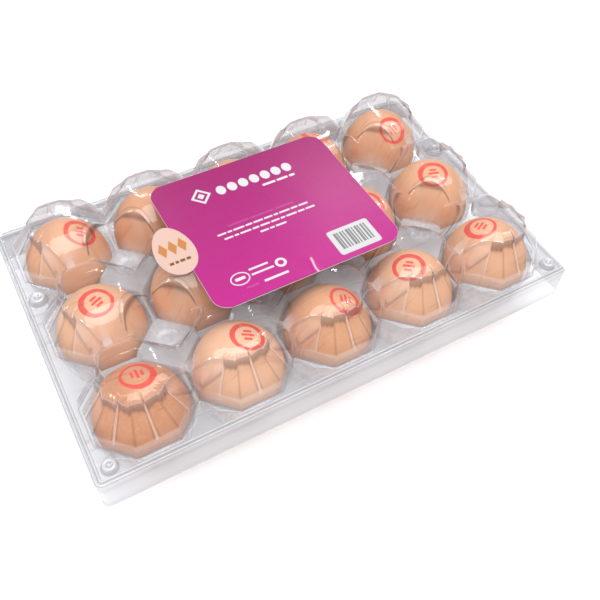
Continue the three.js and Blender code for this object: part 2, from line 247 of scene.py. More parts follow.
# Fine slanting lines that the forming tool leaves in the film
def drag_marks(n):
    turn, stretch = (0.0, 0.0, math.radians(-38)), (45.0, 620.0, 45.0)
    slanted = n.add("ShaderNodeMapping", {"Vector": n.position(), "Rotation": turn, "Scale": stretch})
    lines = n.noise(1.0, 2.0, 0.5, vector=slanted.outputs[0])
    return n.math("MULTIPLY", n.ramp(lines, 0.54, 0.66), n.ramp(n.noise(70.0, 1.0), 0.42, 0.6))


# Colours of the shell from pale to deep, of its blotches, of painted light on its top, of its dust and
# specks, and of its mark
SHELL_PALE, SHELL_DEEP, SHELL_PINK = (0.80, 0.375, 0.165), (0.61, 0.21, 0.068), (0.86, 0.48, 0.30)
SHELL_BLOTCH, SHELL_PAINTED_LIGHT, SHELL_DUST = (0.86, 0.50, 0.30), (0.92, 0.58, 0.38), (0.95, 0.66, 0.46)
SHELL_SPECK, MARK_RED = (0.33, 0.13, 0.06), (0.84, 0.045, 0.02)


def egg_material():
    n = Nodes("egg_shell_brown")
    tone = n.attribute("tone")
    pale = n.attribute("pale")
    height = n.attribute("height")
    broad = n.noise(38.0, 4.0, 0.6)
    fine = n.noise(900.0, 3.0, 0.6)
    base = n.mix(tone, SHELL_PALE, SHELL_DEEP)
    base = n.mix(pale, base, SHELL_PINK)
    base = n.tint(base, n.ramp(broad, 0.35, 0.75), 0.4, SHELL_BLOTCH)
    # Painted light: the shell turns paler towards its top
    base = n.tint(base, n.ramp(height, 0.3, 0.95), 0.16, SHELL_PAINTED_LIGHT)
    base = n.tint(base, n.ramp(fine, 0.46, 0.72), 0.14, SHELL_DUST)
    spots = n.add("ShaderNodeTexVoronoi", {"Vector": n.position(), "Scale": 620.0})
    patches = n.ramp(n.noise(120.0, 2.0), 0.5, 0.66)
    speck = n.math("MULTIPLY", n.ramp(spots.outputs["Distance"], 0.16, 0.07), patches)
    base = n.tint(base, speck, 0.55, SHELL_SPECK)
    base = n.mix(mark_mask(n), base, MARK_RED)
    pores = n.math("ADD", n.math("MULTIPLY", fine, 0.35), n.noise(240.0, 3.0, 0.6))
    shader = n.add("ShaderNodeBsdfPrincipled", {
        "Base Color": base, "Roughness": 0.42, "Subsurface Weight": 0.06, "Subsurface Scale": 0.002,
        "Subsurface Radius": (0.8, 0.35, 0.2), "Normal": n.bump(pores, 0.16, 0.0006),
    })
    return n.finish(shader.outputs[0])


# Red mark: radius of its ring, half its width and how much that varies, then each bar's place and half length
MARK_R, MARK_WIDTH, MARK_UNEVEN = 6.9, 0.95, 0.4
MARK_BARS = ((-2.2, 1.7), (0.0, 2.7), (2.2, 1.7))
MARK_SOFT = 0.3


def mark_mask(n):
    """Round mark: a ring that is heavier on one side, with three short bars inside, worn and smudged."""
    u, v = n.attribute("mark_u"), n.attribute("mark_v")
    smear = n.math("MULTIPLY", n.math("SUBTRACT", n.noise(170.0, 3.0, 0.6), 0.5), 1.1)
    off = n.away(n.math("ADD", n.hypot(u, v), smear), MARK_R)
    heavier = n.math("MULTIPLY", n.math("SINE", n.math("ARCTAN2", v, u)), MARK_UNEVEN)
    width = n.math("ADD", MARK_WIDTH, heavier)
    ink = n.ramp(off, n.math("ADD", width, MARK_SOFT), width)
    for offset, half in MARK_BARS:
        across = n.ramp(n.away(v, offset), 0.85, 0.55)
        along_bar = n.ramp(n.math("ABSOLUTE", u), half + MARK_SOFT, half)
        ink = n.math("MAXIMUM", ink, n.math("MULTIPLY", across, along_bar))
    wear = n.ramp(n.noise(260.0, 4.0, 0.7), 0.28, 0.5)
    ink = n.math("MULTIPLY", ink, n.attribute("mark_on"))
    return n.math("MULTIPLY", ink, n.math("MULTIPLY_ADD", wear, 0.3, 0.68))


# Profiles of the film
def along(points, x):
    return np.interp(x, [p[0] for p in points], [p[1] for p in points])


def soft_min(a, b, width):
    mix = np.clip(0.5 + 0.5 * (b - a) / width, 0, 1)
    return b + (a - b) * mix - width * mix * (1 - mix)


def near(value, centre, width):
    return np.exp(-((value - centre) / width) ** 2)


def dome_height(x, y):
    """Height of the dome, which is round at the crown and squarer further out."""
    half_x, half_y = PITCH_X / 2, PITCH_Y / 2
    rho = (np.abs(x / half_x) ** DOME_POWER + np.abs(y / half_y) ** DOME_POWER) ** (1 / DOME_POWER) * half_x
    radius = np.hypot(x, y)
    return along(DOME, np.where(radius < CROWN_R, radius, np.maximum(rho, CROWN_R)))


# Distance from the axis to the line between two points, along each angle
def reach_to_line(angle, start, end):
    (x0, y0), (x1, y1) = start, end
    nx, ny = y1 - y0, x0 - x1
    across = nx * np.cos(angle) + ny * np.sin(angle)
    return (nx * x0 + ny * y0) / np.where(np.abs(across) < 1e-9, 1e-9, across)


# A rib stands on the middle of every face of the octagon
def rib_amount(angle):
    off = abs((angle + EIGHTH / 2) % EIGHTH - EIGHTH / 2)
    return float(np.clip((RIB_FOOT - off) / (RIB_FOOT - RIB_TOP), 0, 1))


class Quarter:
    """One quarter of a cell, with x and y outwards from the axis, and which of its sides lie at the rim."""

    def __init__(self, reach_x, reach_y, edge_x, edge_y, fluted=1.0):
        self.reach = (reach_x, reach_y)
        self.edges = (edge_x, edge_y)
        self.fluted = fluted
        self.corner = math.atan2(reach_y, reach_x)
        self.turn = SHOULDER * math.tan(EIGHTH / 2)

    def angles(self):
        count = round(RIGHT / SPOKE_STEP)
        own = [k * RIGHT / count for k in range(count + 1)]
        ribs = [c + side * a for c in (0, EIGHTH, RIGHT) for side in (-1, 1) for a in (RIB_TOP, RIB_FOOT)]
        fixed = [a for a in ribs if 0 < a < RIGHT] + [self.corner]
        kept = [a for a in own if all(abs(a - f) > SPOKE_STEP / 3 for f in fixed) or a in (0, own[-1])]
        return sorted(kept + fixed)

    def border(self, angle):
        x, y = max(math.cos(angle), 1e-9), max(math.sin(angle), 1e-9)
        return min(self.reach[0] / x, self.reach[1] / y)

    def frustum(self, x, y):
        edge_x, edge_y = self.edges
        faces = [(x + y) / math.sqrt(2)]
        if edge_x:
            faces.append(x)
        if edge_y:
            faces.append(y)
        return np.maximum.reduce(faces)

    def line_reach(self, angle, end):
        """Distance to the shoulder, then on to a line that runs to a point on the border."""
        edge_x, edge_y = self.edges
        turn = self.turn
        if edge_x and edge_y:
            lines = [((SHOULDER, 0), (SHOULDER, turn)), ((SHOULDER, turn), (turn, SHOULDER)),
                     ((turn, SHOULDER), (0, SHOULDER))]
            return max(0, min(reach_to_line(angle, *line) for line in lines))
        if edge_y:
            if angle < math.atan2(end, PITCH_X / 2):
                return None
            if angle > math.atan2(SHOULDER, turn):
                return SHOULDER / math.sin(angle)
            return float(reach_to_line(angle, (PITCH_X / 2, end), (turn, SHOULDER)))
        if edge_x:
            if angle > math.atan2(PITCH_Y / 2, end):
                return None
            if angle < math.atan2(turn, SHOULDER):
                return SHOULDER / math.cos(angle)
            return float(reach_to_line(angle, (SHOULDER, turn), (end, PITCH_Y / 2)))
        return None

    def valley(self, x, y):
        """Height of the plane that falls outwards and towards the next cell's dome."""
        if self.edges[1]:
            return SHOULDER_Z - VALLEY_ALONG_X * (x - self.turn) - VALLEY_OUT * (y - SHOULDER)
        return SHOULDER_Z - VALLEY_OUT * (x - SHOULDER) - VALLEY_ALONG_Y * (y - self.turn)

    def fan_share(self, angle):
        """1 where the fluted fan is, falling to 0 towards the saddles."""
        edge_x, edge_y = self.edges
        beyond = [0.0] if edge_x and edge_y else []
        if edge_x:
            beyond.append(angle - EIGHTH)
        if edge_y:
            beyond.append(EIGHTH - angle)
        if not beyond:
            return 0.0
        return float(np.clip(1 - (min(beyond) - 0.02) / FAN_FADE, 0, 1))

    def outside(self, x, y, angle):
        """Height beyond the step: fluted frustum, valley plane, band and flange."""
        apothem = self.frustum(x, y)
        slope = SHOULDER_Z + (BAND_Z - SHOULDER_Z) * (apothem - SHOULDER) / (BAND_TOP - SHOULDER)
        if self.fan_share(angle) == 1.0:
            inwards = np.clip((BAND_TOP - apothem) / (BAND_TOP - SHOULDER), 0, 1)
            slope = slope - RECESS * self.fluted * inwards * (1 - rib_amount(angle))
        if self.edges[0] != self.edges[1]:
            slope = soft_min(slope, self.valley(x, y), 0.5)
        band = (FOOT - apothem) / (FOOT - BAND_TOP) * BAND_Z
        return np.maximum(0.0, np.minimum(slope, band))

    def line(self, angle):
        """Columns of radius, height, milkiness, painted shade and painted highlight at this angle, from the
        axis outwards.
        """
        border = self.border(angle)
        step = self.line_reach(angle, RIDGE_END)
        if step is None or step >= border - 1.2:
            return self.open_line(angle, border)
        return self.stepped_line(angle, border, step)

    def open_line(self, angle, border):
        """Dome that runs on over a saddle, or into the funnel between four domes."""
        c, s = math.cos(angle), math.sin(angle)
        rim = border
        if not any(self.edges):
            corner = math.hypot(PITCH_X / 2, PITCH_Y / 2)
            lean = math.cos(angle - math.atan2(PITCH_Y, PITCH_X)) * corner
            inside = lean ** 2 - corner ** 2 + FUNNEL_RIM ** 2
            rim = min(lean - math.sqrt(inside), border) if inside > 0 else border
        rim = min(rim, border - 1.8)
        radii = np.concatenate([
            np.linspace(0, CROWN_R, 5)[1:],
            np.linspace(CROWN_R, rim - 3.0, 4)[1:],
            [rim - 2.5, rim - 2.2, rim - 1.9],
            np.linspace(rim - 0.9, rim + 1.5, 8)[1:],
            np.linspace(rim + 1.5, border, 14)[1:],
        ])
        x, y = radii * c, radii * s
        dome = dome_height(x, y)
        if any(self.edges):
            # Saddle: the film turns milkier and painted shade darkens it towards the border
            outer = np.clip((radii / border - SADDLE_FROM) / 0.2, 0, 1)
            milk = CLEAR + SADDLE_MILK * outer
            return np.column_stack([radii, dome, milk, SADDLE_SHADE * outer, np.zeros(len(radii))])
        from_x, from_y = PITCH_X / 2 - x, PITCH_Y / 2 - y
        away = np.hypot(from_x, from_y)
        wave = np.cos(WELL_FLUTES * np.arctan2(from_y, from_x)) * np.clip((FUNNEL_RIM - 1.5 - away) / 4, 0, 1)
        funnel = along(FUNNEL, away + WELL_FLUTE_DEPTH * wave * np.clip((away - 3) / 3, 0, 1))
        inside = dome - funnel > 0.6
        milk = np.where(inside, along(FUNNEL_MILK, funnel), CLEAR)
        is_rim = float(rim < border - 1.9)
        # Painted shade along the window's two arcs at the funnel's rim, and a painted highlight just inside
        # the rim
        crease = is_rim * (1.3 * near(radii, rim + 0.6, 0.6) + 0.6 * near(radii, rim - 2.2, 0.3))
        return np.column_stack([radii, soft_min(dome, funnel, 0.4), milk, np.clip(crease, 0, 1),
                                0.5 * is_rim * near(radii, rim - 0.3, 0.25)])

    def stepped_line(self, angle, border, step):
        """Crown, then the step at the shoulder or ridge, then the fan or the valley, band and flange."""
        c, s = math.cos(angle), math.sin(angle)
        edge_x, edge_y = self.edges
        unit = max(c if edge_x else 0.0, s if edge_y else 0.0, (c + s) / math.sqrt(2))
        top, foot = min(BAND_TOP / unit, border - 0.6), min(FOOT / unit, border - 0.3)
        share = self.fan_share(angle)
        fan, rib = share == 1.0, rib_amount(angle)
        if fan:
            tooth = TOOTH_LOW + (TOOTH_HIGH - TOOTH_LOW) * ((angle / (EIGHTH / 2) + 1e-6) % 1.0)
            tooth += TOOTH_JITTER * math.sin(TOOTH_JITTER_RATE * angle)
            step += self.fluted * (TOOTH_AT_RIB if rib > 0.5 else tooth)
        fine = min(1.0, (top - step) / 4.5)
        ledge = None if fan else self.line_reach(angle, LEDGE_END)
        second = step + 1.3 * fine
        if not fan:
            second = max(min(ledge or math.inf, top - 1.6 * fine), second)
        radii = np.concatenate([
            np.linspace(0, CROWN_R, 5)[1:],
            np.linspace(CROWN_R, step - 0.8, 5)[1:],
            [step - 0.45, step - 0.1, step + 0.25 * fine, step + 0.95 * fine],
            np.linspace(step + 0.95 * fine, second - 0.15 * fine, 3)[1:],
            [second + 0.25 * fine, second + 1.0 * fine],
            np.linspace(second + 1.0 * fine, top, 10)[1:],
            [(top + foot) / 2, foot],
            np.linspace(foot, border, 4)[1:],
        ])
        x, y = radii * c, radii * s
        dome = dome_height(x, y)
        sag = EDGE_TOP + (CROWN_Z - EDGE_TOP) * (1 - np.clip((radii - CROWN_R) / (step - CROWN_R), 0, 1) ** 2)
        crown = dome + (np.minimum(sag, dome) - dome) * share
        beyond = self.outside(x, y, angle)
        if not fan:
            beyond = np.maximum(beyond, self.ledge_height(angle, radii, step, ledge, crown))
        z = np.minimum(np.where(radii < step, crown, beyond), crown)
        return np.column_stack([radii, z, *self.marks(radii, angle, step, second, top, foot, fan, ledge)])

    def ledge_height(self, angle, radii, step, ledge, crown):
        """Sloping ledge between the ridge and a second, lower step above the valley plane."""
        end = ledge if ledge and ledge > step + 1.0 else 1.35 * step
        start = float(np.interp(step, radii, crown)) - LEDGE_START
        low = self.valley(end * math.cos(angle), end * math.sin(angle)) + LEDGE_DROP
        height = start + (low - start) * (radii - step) / (end - step)
        return np.where(radii < end, height, -1.0)

    def marks(self, radii, angle, step, second, top, foot, fan, ledge):
        """Milkiness, painted shade along steps, ribs, folds and the foot, and painted highlight of a stepped
        line's rings.
        """
        rib = rib_amount(angle)
        on_slope = 0.2 * rib if fan else 0.08
        on_slope += BACK_HAZE * (self.fluted < 1)
        milk = np.where(radii < step, CLEAR, np.where(radii < top + 0.01, on_slope, 0.2))
        crease = (FAN_STEP_SHADE if fan else RIDGE_STEP_SHADE) * near(radii, step + 0.2, 0.65)
        if ledge:
            crease = crease + LEDGE_STEP_SHADE * near(radii, second + 0.45, 0.5)
        between = (radii > step + 0.8) & (radii < top)
        if fan and 0 < abs((angle + EIGHTH / 2) % EIGHTH - EIGHTH / 2) - RIB_FOOT + 1e-6 < 0.001:
            crease = crease + np.where(between, RIB_FOOT_SHADE, 0.0)
        if fan and abs(angle % EIGHTH - EIGHTH / 2) < 0.01:
            crease = crease + np.where(between, FOLD_LINE_SHADE, 0.0)
        crease = crease + FOOT_LINE_SHADE * near(radii, foot, 0.25)
        # Painted shade over the back's film beyond the step
        crease = crease + np.where((radii > step) & (self.fluted < 1), BACK_SHADE, 0.0)
        # Painted highlight along the step's upper edge, at the band's top and on the ribs
        shine = 0.8 * near(radii, step - 0.45, 0.2) + 0.25 * near(radii, top, 0.2)
        shine = shine + 0.12 * rib * fan * between
        return milk, np.clip(crease, 0, 1), np.clip(shine, 0, 1)


def cell_quarters(column, row):
    left, right = column == 0, column == COLUMNS - 1
    front, back = row == 0, row == ROWS - 1
    cx, cy = (column - (COLUMNS - 1) / 2) * PITCH_X, (row - (ROWS - 1) / 2) * PITCH_Y
    back_share = BACK_FLUTES if back else 1.0
    to_right = LENGTH / 2 - RIM - cx if right else PITCH_X / 2
    to_left = LENGTH / 2 - RIM + cx if left else PITCH_X / 2
    to_back = BACK_Y - RIM - cy if back else PITCH_Y / 2
    to_front = cy - FRONT_Y - RIM if front else PITCH_Y / 2
    return cx, cy, [
        (Quarter(to_right, to_back, right, back, back_share), 1, 1),
        (Quarter(to_left, to_back, left, back, back_share), -1, 1),
        (Quarter(to_left, to_front, left, front), -1, -1),
        (Quarter(to_right, to_front, right, front), 1, -1),
    ]


# Spokes of one cell, anticlockwise, each a row of points from the axis out to the border
def cell_spokes(column, row, line_of):
    cx, cy, quarters = cell_quarters(column, row)
    spokes = []
    for quarter, sx, sy in quarters:
        angles = quarter.angles()
        if sx * sy < 0:
            angles = angles[::-1]
        for angle in angles[:-1]:
            line = line_of(quarter, angle)
            x = cx + sx * line[:, 0] * math.cos(angle)
            y = cy + sy * line[:, 0] * math.sin(angle)
            spokes.append(np.column_stack([x, y, line[:, 1:]]))
    assert len({len(spoke) for spoke in spokes}) == 1
    return cx, cy, spokes


def strip_faces(start, count, rings, closed=True):
    faces = []
    for k in range(count if closed else count - 1):
        a, b = start + k * rings, start + ((k + 1) % count) * rings
        faces.extend((a + m, a + m + 1, b + m + 1, b + m) for m in range(rings - 1))
    return faces


# Whole sheet of cells, each vertex with x, y, z, milkiness, painted shade and painted highlight
def film_sheet(line_of, centre_z, base_z):
    verts, faces = [], []
    for row in range(ROWS):
        for column in range(COLUMNS):
            cx, cy, spokes = cell_spokes(column, row, line_of)
            start = len(verts)
            verts.append((cx, cy, centre_z + base_z, CLEAR, 0.0, 0.0))
            for spoke in spokes:
                verts.extend((x, y, z + base_z, *marks) for x, y, z, *marks in spoke)
            count, rings = len(spokes), len(spokes[0])
            for k in range(count):
                faces.append((start, start + 1 + k * rings, start + 1 + ((k + 1) % count) * rings))
            faces.extend(strip_faces(start + 1, count, rings))
    return verts, faces


# Points round the flange, each with x, y and the direction outwards
def rim_path():
    x1, y0, y1 = LENGTH / 2 - RIM, FRONT_Y + RIM, BACK_Y - RIM
    corners = [(x1, y1, 0.0), (-x1, y1, 0.5), (-x1, y0, 1.0), (x1, y0, 1.5)]
    path = []
    for index, (x, y, turn) in enumerate(corners):
        for k in range(RIM_CORNER_STEPS + 1):
            angle = (turn + 0.5 * k / RIM_CORNER_STEPS) * math.pi
            path.append((x, y, math.cos(angle), math.sin(angle)))
        nx, ny, _ = corners[(index + 1) % 4]
        count = int(math.hypot(nx - x, ny - y) / RIM_STEP)
        angle = (turn + 0.5) * math.pi
        for k in range(1, count):
            share = k / count
            path.append((x + (nx - x) * share, y + (ny - y) * share, math.cos(angle), math.sin(angle)))
    return path


# Rim swept round the flange, plainer at the back and darker there by painted shade; its profile gives
# distance outwards, height and three marks
def rim_strip(profile, base_z):
    path = rim_path()
    verts = []
    for x, y, c, s in path:
        plain = max(0.0, s) * BACK_PLAIN
        for out, z, milk, crease, shine in profile:
            low = z * (1 - plain) if z > 0 else z
            # Painted shade: the rim is darker towards the back
            rim_shade = min(1.0, crease + BACK_SHADE * plain)
            verts.append((x + c * out, y + s * out, base_z + low, milk, rim_shade, shine * (1 - plain)))
    return verts, strip_faces(0, len(path), len(profile))


def join(*parts):
    verts, faces = [], []
    for more_verts, more_faces in parts:
        start = len(verts)
        verts.extend(more_verts)
        faces.extend(tuple(i + start for i in face) for face in more_faces)
    return verts, faces


# Joins the cells' borders and the rim, whose points lie in the same places
def weld(obj):
    modifier = obj.modifiers.new("weld", "WELD")
    modifier.merge_threshold = WELD_DISTANCE * MM
    depsgraph = bpy.context.evaluated_depsgraph_get()
    welded = bpy.data.meshes.new_from_object(obj.evaluated_get(depsgraph))
    obj.modifiers.clear()
    old = obj.data
    obj.data = welded
    bpy.data.meshes.remove(old)
    obj.data.polygons.foreach_set("use_smooth", [True] * len(obj.data.polygons))


def lathe(points, sides, x, y):
    verts = []
    for k in range(sides):
        angle = 2 * math.pi * k / sides
        verts.extend((x + r * math.cos(angle), y + r * math.sin(angle), z, *marks) for r, z, *marks in points)
    return verts, strip_faces(0, sides, len(points))


# Lid's rim with its two ribs, and shape of a button in shares of its radius and height, each with milkiness,
# painted shade and painted highlight
LID_RIM = (
    (0, 0, 0.22, 0, 0), (0.35, 0.0, 0.22, 0.5, 0), (0.6, 0.6, 0.3, 0.3, 0.7), (0.85, 0.8, 0.3, 0, 0.8),
    (1.15, 0.7, 0.3, 0.1, 0.3), (1.4, 0.0, 0.22, 1.0, 0), (1.9, 0.0, 0.22, 0.1, 0),
    (2.2, 0.05, 0.25, 0.4, 0.2), (2.4, 0.5, 0.3, 0, 0.8), (2.75, 0.5, 0.3, 0, 0.4),
    (3.0, 0.0, 0.22, 0.5, 0), (3.4, -0.05, 0.25, 0, 0.5), (3.6, -0.5, 0.25, 0.3, 0.3))
BUTTON_SHAPE = (
    (0.001, 0.55, 0.2, 0, 0.2), (0.3, 0.6, 0.2, 0.3, 0), (0.42, 0.95, 0.2, 0, 0.9), (0.6, 1.0, 0.2, 0, 0.7),
    (0.72, 0.85, 0.2, 0.3, 0), (0.86, 0.14, 0.2, 0.7, 0), (1.0, 0.02, 0.2, 0, 0.6))
BUTTON_SIDES = 32


def button(x, y, radius, height):
    points = [(r * radius, FLANGE_Z + z * height, *marks) for r, z, *marks in BUTTON_SHAPE]
    return lathe(points, BUTTON_SIDES, x, y)


# Lid: domed cells, flange rim with its ribs, snap buttons
def make_lid():
    film = film_material("clear_film_lid", (0.90, 0.905, 0.915, 1.0), (0.72, 0.745, 0.78, 1.0), 0.12, 0.10)
    sheet = film_sheet(Quarter.line, CROWN_Z, FLANGE_Z)
    buttons = [button(*place) for place in BUTTONS]
    lid = mesh_object("lid_film", *join(sheet, rim_strip(LID_RIM, FLANGE_Z), *buttons), film)
    weld(lid)
    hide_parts("lid")
    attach(lid, "lid")


def tray_line(quarter, angle):
    """Columns of radius, height, milkiness, painted shade and painted highlight of a fluted cup and the
    tray's top around it.
    """
    border = quarter.border(angle)
    c, s = math.cos(angle), math.sin(angle)
    edge_x, edge_y = quarter.edges
    on_side = (not edge_x and angle < EIGHTH / 2) or (not edge_y and angle > RIGHT - EIGHTH / 2)
    rim = min(FOOT / max(c, s, (c + s) / math.sqrt(2)) - 1.2, border - 0.2)
    radii = np.concatenate([
        np.array([4.0, 8.5, 9.6, 10.8]), np.linspace(12.5, 21.5, 9), [22.0, 22.4, 22.8],
        [min(rim, border - 0.1), min(rim + 0.6, border - 0.05)], np.linspace(rim + 0.6, border, 4)[1:],
    ])
    z = along(CUP, radii)
    z[-5:] = WALL_TOP if on_side else TRAY_TOP
    z[-6] = CUP[-1][1]
    wave = 0.5 * (1 + math.cos(CUP_FLUTES * angle))
    depth = np.clip((z - 6) / 8, 0, 1) * np.clip((32 - z) / 6, 0, 1)
    radii = np.minimum(radii - CUP_FLUTE_DEPTH * wave * depth, border)
    milk = np.full(len(radii), TRAY_MILK)
    if on_side or not (edge_x or edge_y):
        milk[-5:] = TRAY_TOP_MILK
    # Painted shade in the flutes' grooves and along the rim's edge, painted highlight on the flutes' crests
    crease = 0.35 * depth * (wave < 0.1)
    crease[-6:-4] = 0.5
    shine = 0.3 * depth * (wave > 0.9)
    return np.column_stack([radii, z, milk, crease, shine])


# Tray's rim, from the flange over its edge and down the skirt to the lip, each point with milkiness, painted
# shade and painted highlight
TRAY_RIM = (
    (0, 0, 0.2, 0.2, 0), (1.2, 0.0, 0.2, 0.2, 0), (2.6, 0.0, 0.2, 0.3, 0), (3.1, -0.15, 0.2, 0.1, 0.6),
    (3.4, -0.6, 0.25, 0.3, 0.4), (3.45, -1.4, 0.25, 0.5, 0), (3.35, -5.5, 0.3, 0.25, 0),
    (3.2, -11.0, 0.3, 0.25, 0), (3.1, -15.2, 0.25, 0.4, 0), (3.05, -15.9, 0.25, 0.5, 0),
    (3.45, -16.15, 0.25, 0, 0.9), (3.6, -16.5, 0.25, 0, 0.6), (3.5, -16.85, 0.25, 0.5, 0),
    (3.0, -16.9, 0.25, 0.4, 0))


# Tray: fluted cups, flange, skirt with its lip
def make_tray():
    film = film_material("clear_film_tray", (0.84, 0.872, 0.895, 1.0), (0.64, 0.68, 0.72, 1.0), 0.2, 0.12)
    sheet = film_sheet(tray_line, CUP[0][1], 0.0)
    tray = mesh_object("tray_film", *join(sheet, rim_strip(TRAY_RIM, TRAY_TOP)), film)
    weld(tray)
    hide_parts("tray")
    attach(tray, "tray")


# Fold at the hinge: places across it and heights, how far it ends from the corners, and its steps along x
FOLD = ((78.30, 38.85), (78.75, 38.72), (79.25, 38.75), (79.6, 38.98), (79.68, 39.3), (79.55, 39.62),
        (79.2, 39.86), (78.75, 39.97), (78.30, 39.98))
FOLD_MARGIN, FOLD_STEPS = 4.0, 60
# Milkiness, painted shade and painted highlight of the fold
FOLD_MARKS = (0.2, 0.15, 0.0)


# Hinge: fold of film from the tray's back edge up to the lid's
def make_hinge_web():
    half = LENGTH / 2 - FOLD_MARGIN
    verts = []
    for k in range(FOLD_STEPS + 1):
        x = half - 2 * half * k / FOLD_STEPS
        verts.extend((x, y, z, *FOLD_MARKS) for y, z in FOLD)
    faces = strip_faces(0, FOLD_STEPS + 1, len(FOLD), closed=False)
    film = film_material("folded_film", (0.80, 0.82, 0.84, 1.0), (0.62, 0.66, 0.70, 1.0), 0.2, 0.1, rough=0.4)
    web = mesh_object("hinge_web", verts, faces, film)
    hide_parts("hinge_bead")
    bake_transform(web)


make_lid()
make_tray()
make_hinge_web()


# Eggs: tone from pale to deep, share of the pale pinkish tone, and lean of the mark, by row and column
EGG_LOOKS = {
    (1, 1): (1.0, 0.0, (0.13, -0.20)), (1, 2): (0.1, 0.8, (0.24, 0.01)), (1, 3): (0.45, 0.1, (0.32, 0.11)),
    (1, 4): (0.2, 0.45, (-0.15, 0.01)), (1, 5): (0.3, 0.35, (-0.16, -0.22)),
    (2, 1): (0.2, 0.5, (0.04, 0.07)), (2, 2): (0.2, 0.2, (0.6, 0.4)), (2, 3): (0.4, 0.2, (0.1, 0.3)),
    (2, 4): (0.45, 0.2, (0.15, 0.3)), (2, 5): (0.2, 0.15, (-0.10, 0.13)),
    (3, 1): (0.4, 0.3, (0.41, 0.19)), (3, 2): (0.7, 0.05, (0.55, -0.1)), (3, 3): (0.6, 0.05, (0.1, 0.3)),
    (3, 4): (0.75, 0.05, (0.3, -0.25)), (3, 5): (0.45, 0.05, (0.04, 0.46)),
}

# Height of an egg's widest ring as a share, how far the shell stays inside its node's box, and its unevenness
EGG_MIDDLE, EGG_INSIDE = 32.2 / 57.2, 0.995
EGG_RINGS, EGG_SIDES = 44, 64
EGG_TAPER, EGG_LUMP, EGG_TALL = 0.05, 0.006, 0.004


def egg_verts(centre, radius, bottom, top, seed):
    """Rings of the shell's points from its narrower lower end up, slightly lumpy."""
    cx, cy, middle = centre
    verts = []
    for k in range(EGG_RINGS + 1):
        rise = -RIGHT + math.pi * k / EGG_RINGS
        up = math.sin(rise)
        reach = bottom if up < 0 else top
        ring = radius * math.cos(rise) * (1 - EGG_TAPER * max(0.0, -up) ** 2)
        for j in range(EGG_SIDES):
            c, s = math.cos(2 * math.pi * j / EGG_SIDES), math.sin(2 * math.pi * j / EGG_SIDES)
            direction = Vector((math.cos(rise) * c, math.cos(rise) * s, up))
            lump = 1 + EGG_LUMP * noise.noise(direction * 1.7 + seed)
            tall = (1 + EGG_TALL * noise.noise(direction * 1.3 - seed)) * EGG_INSIDE
            verts.append((cx + ring * c * lump, cy + ring * s * lump, middle + reach * up * tall))
    return verts


def egg_faces():
    faces = []
    for k in range(EGG_RINGS):
        for j in range(EGG_SIDES):
            a, b = k * EGG_SIDES + j, k * EGG_SIDES + (j + 1) % EGG_SIDES
            faces.append((a, b, b + EGG_SIDES, a + EGG_SIDES))
    return faces


def egg_values(points, centre, low_z, height, row, column):
    """Tone, share of height, and place across the mark in millimetres, for each point of the shell."""
    tone, pale, (lean_x, lean_y) = EGG_LOOKS[(row, column)]
    axis = Vector((lean_x, -lean_y, 1.0)).normalized()
    side = Vector((0.8, 0.6, 0)).cross(axis).normalized()
    side = Matrix.Rotation(math.radians(23 * ((row * 5 + column * 3) % 7) - 60), 3, axis) @ side
    other = axis.cross(side)
    local = points - np.array(centre)
    return {
        "tone": np.full(len(points), tone), "pale": np.full(len(points), pale),
        "height": (points[:, 2] - low_z) / height,
        "mark_u": local @ np.array(side), "mark_v": local @ np.array(other),
        "mark_on": (local @ np.array(axis) > 0).astype(float),
    }


def make_egg(row, column, shell):
    node = f"egg_r{row}_c{column}"
    low, high = (np.array(corner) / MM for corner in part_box(node))
    radius, height = (high[0] - low[0]) / 2 * EGG_INSIDE, high[2] - low[2]
    bottom = height * EGG_MIDDLE
    centre = ((low[0] + high[0]) / 2, (low[1] + high[1]) / 2, low[2] + bottom)
    verts = egg_verts(centre, radius, bottom, height - bottom, Vector((row * 3.7, column * 5.1, 0.0)))
    egg = mesh_object(f"{node}_shell", verts, egg_faces(), shell)
    for name, data in egg_values(np.array(verts), centre, low[2], height, row, column).items():
        layer = egg.data.attributes.new(name, "FLOAT", "POINT")
        layer.data.foreach_set("value", data.astype(np.float32))
    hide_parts(node)
    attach(egg, "tray")


def make_eggs():
    shell = egg_material()
    for row in range(1, ROWS + 1):
        for column in range(1, COLUMNS + 1):
            make_egg(row, column, shell)


make_eggs()


# Card label with its egg-shaped tab: a bent sheet, printed by position
CARD_LOW, CARD_HIGH = 65.80, 66.22
CARD = {"width": 96.0, "depth": 85.5, "corner": 8.0, "x": -1.6, "y": 2.2}
CARD_BEND_STEPS, CARD_ROWS, CARD_COLUMNS = 9, 26, 44
CUT_EDGE, CURL, FRONT_CREASE = 0.28, 0.35, 0.22
TAB_AT, TAB_HALF, TAB_TAPER, TAB_SIDES = (-52.6, 2.2), (9.4, 15.6), 0.12, 56
TAB_LOW, TAB_HIGH = CARD_LOW + 0.02, CARD_HIGH + 0.06


def card_lift(x, y):
    """Bend of the card: its right edge and far left corner curl up, and its front has a small crease."""
    right = np.clip((x - 30) / 17, 0, 1) ** 2 * CURL
    far = np.clip((y - 26) / 20, 0, 1) ** 2 * np.clip((-x - 4) / 40, 0, 1) * CURL
    crease = FRONT_CREASE * near(x, 0.0, 1.1) * np.clip((-y - 30) / 6, 0, 1)
    return right + far + crease


